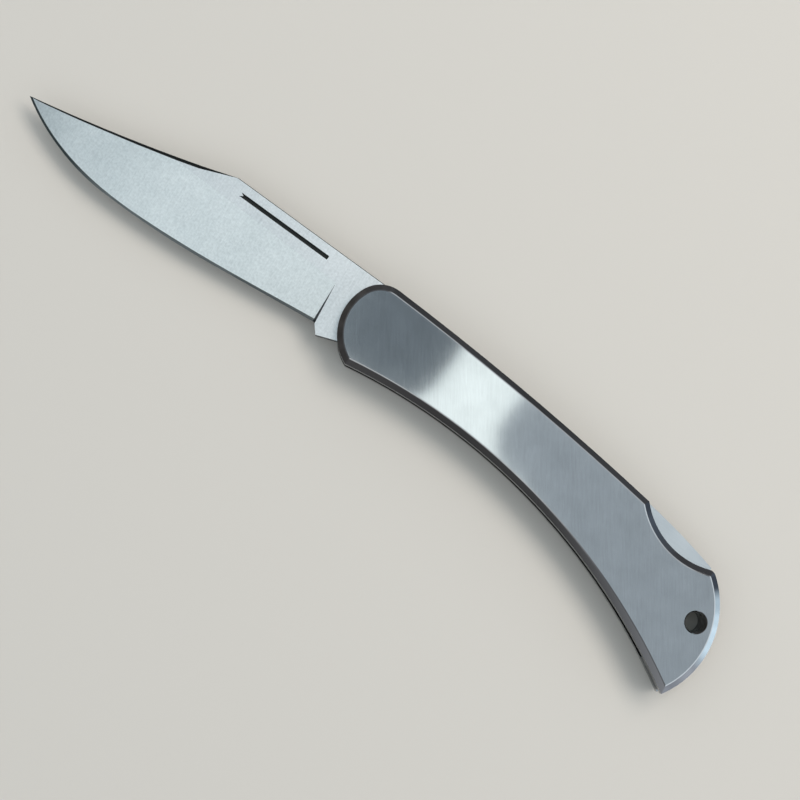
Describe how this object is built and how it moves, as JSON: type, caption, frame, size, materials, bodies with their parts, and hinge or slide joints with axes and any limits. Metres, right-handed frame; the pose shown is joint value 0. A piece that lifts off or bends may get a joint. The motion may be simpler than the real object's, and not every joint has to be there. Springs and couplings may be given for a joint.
{
  "type": "folding pocket knife",
  "caption": "Lockback folding knife with a clip-point blade, bevelled all-steel handle, thumb scoop at the lock release and lanyard hole at the butt.",
  "frame": {"origin": "foot of the blade pivot axis on the outer face of the back scale, which the knife lies on", "axes": "+X along the handle to the butt, with the open blade along -X; +Y to the back of the handle and the spine of the blade; +Z out of the front scale, along the pivot axis"},
  "size_m": [0.1831, 0.0357, 0.0086],
  "materials": {
    "scale_steel": "polished, fine brush lines across the handle",
    "blade_steel": "satin",
    "lock_steel": "satin",
    "spring_steel": "plain",
    "pin_steel": "ground flush with the scales",
    "washer_bronze": "plain"
  },
  "bodies": {
    "handle": {"front_scale": "scale_steel", "back_scale": "scale_steel", "lock_spring": "spring_steel", "butt_spacer": "lock_steel", "blade_pivot_pin": "pin_steel", "lock_bar_pin": "pin_steel", "upper_spacer_rivet": "pin_steel", "lower_spacer_rivet": "pin_steel", "front_pivot_washer": "washer_bronze", "back_pivot_washer": "washer_bronze"},
    "blade": {"blade": "blade_steel"},
    "lock_bar": {"lock_bar": "lock_steel"}
  },
  "joints": [
    {"name": "blade_fold", "type": "hinge", "parent": "handle", "child": "blade", "pos_m": [0, 0, 0.0043], "axis": [0, 0, 1], "range_deg": [0, 172]},
    {"name": "lock_rock", "type": "hinge", "parent": "handle", "child": "lock_bar", "pos_m": [0.052, 0.00536, 0.0043], "axis": [0, 0, 1], "range_deg": [0, 1.4], "stiffness_Nm_per_rad": 0.4, "springref_deg": 1.4}
  ]
}
